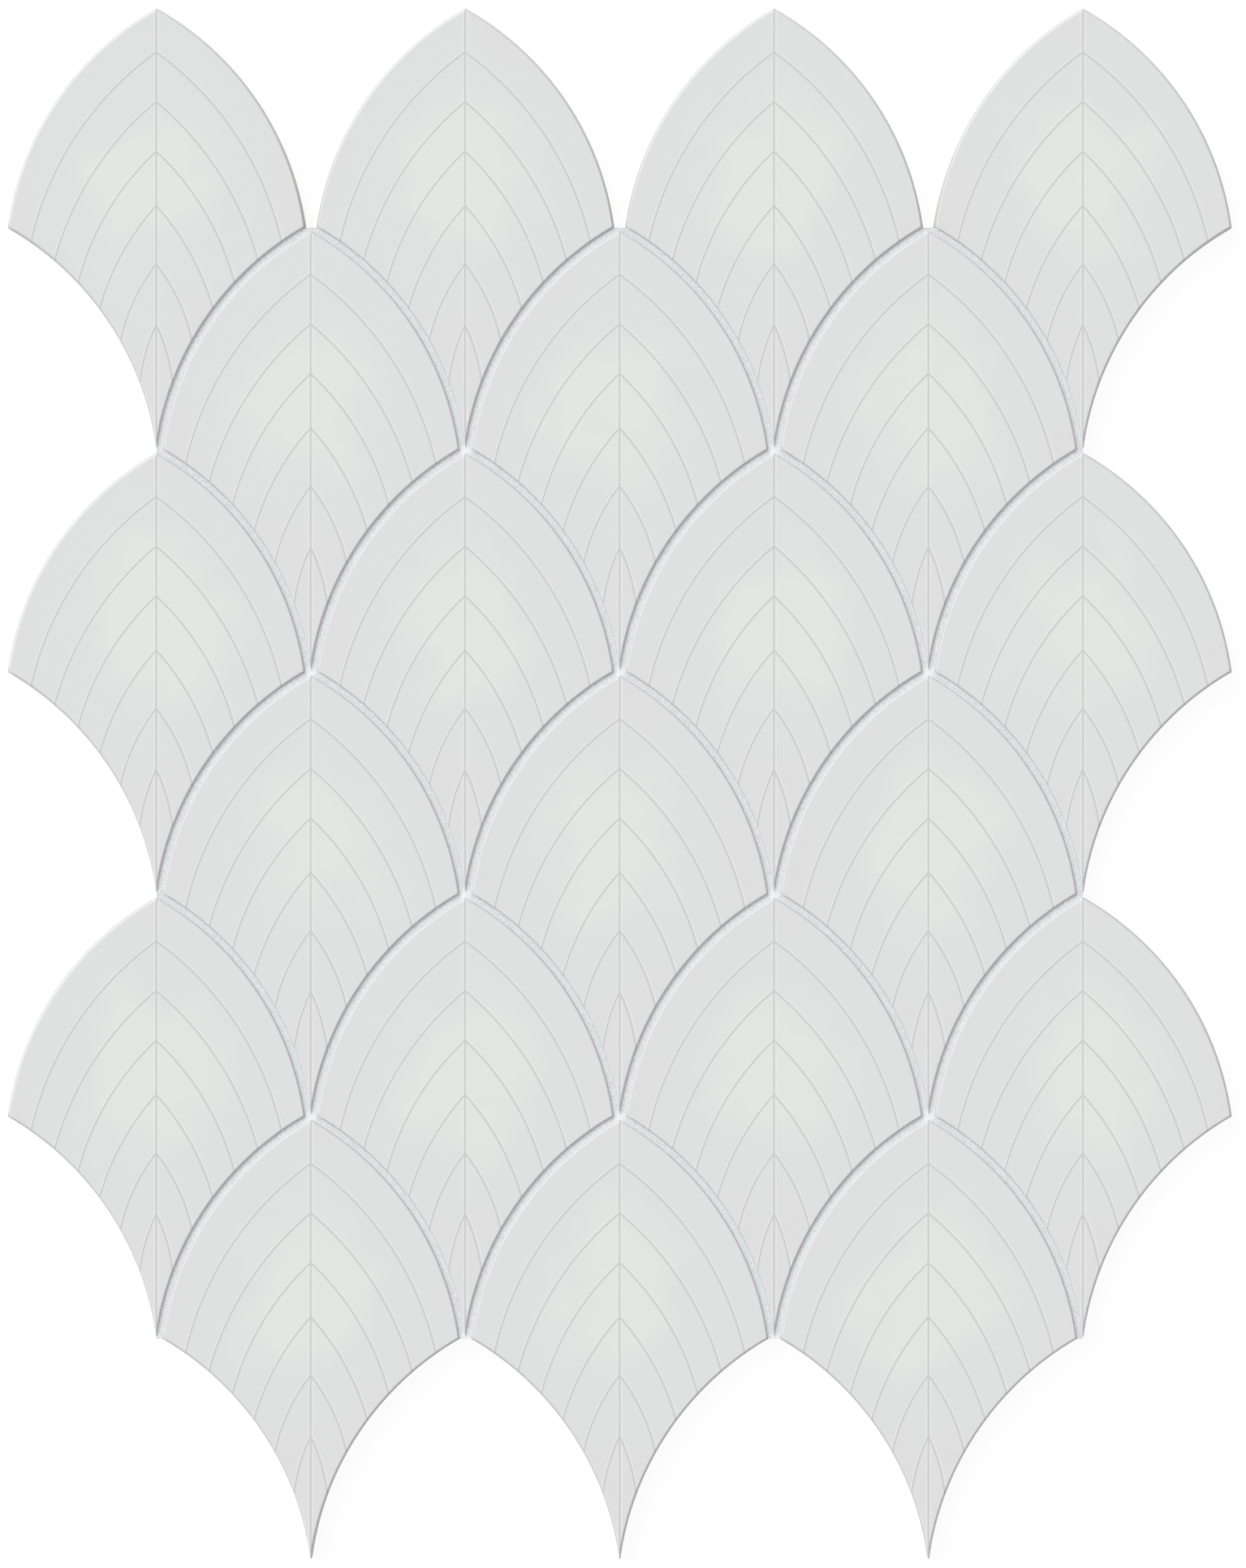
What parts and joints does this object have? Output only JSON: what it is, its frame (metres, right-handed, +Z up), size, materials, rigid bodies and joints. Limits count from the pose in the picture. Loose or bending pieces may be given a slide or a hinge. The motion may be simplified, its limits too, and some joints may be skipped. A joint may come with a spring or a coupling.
{
  "type": "fish scale mosaic tile sheet",
  "caption": "Interlocking wall and floor tile sheet: satin white leaf-shaped fish scale tiles with fine incised veins, joined by pale grout on a mesh backing.",
  "frame": {"origin": "middle of the sheet's outline, on the underside of the mesh backing", "axes": "+Z up out of the glazed faces, +Y along the tiles' axes towards their tips, +X across the rows"},
  "size_m": [0.3022, 0.3826, 0.008],
  "materials": {
    "glazed_tile": "satin",
    "grout": "sandy matt",
    "backing_mesh": "open woven"
  },
  "bodies": {
    "root": {"tile_r1_c1": "glazed_tile", "tile_r1_c2": "glazed_tile", "tile_r1_c3": "glazed_tile", "tile_r1_c4": "glazed_tile", "tile_r2_c1": "glazed_tile", "tile_r2_c2": "glazed_tile", "tile_r2_c3": "glazed_tile", "tile_r3_c1": "glazed_tile", "tile_r3_c2": "glazed_tile", "tile_r3_c3": "glazed_tile", "tile_r3_c4": "glazed_tile", "tile_r4_c1": "glazed_tile", "tile_r4_c2": "glazed_tile", "tile_r4_c3": "glazed_tile", "tile_r5_c1": "glazed_tile", "tile_r5_c2": "glazed_tile", "tile_r5_c3": "glazed_tile", "tile_r5_c4": "glazed_tile", "tile_r6_c1": "glazed_tile", "tile_r6_c2": "glazed_tile", "tile_r6_c3": "glazed_tile", "joint_grout": "grout", "mesh_backing": "backing_mesh"}
  },
  "joints": []
}
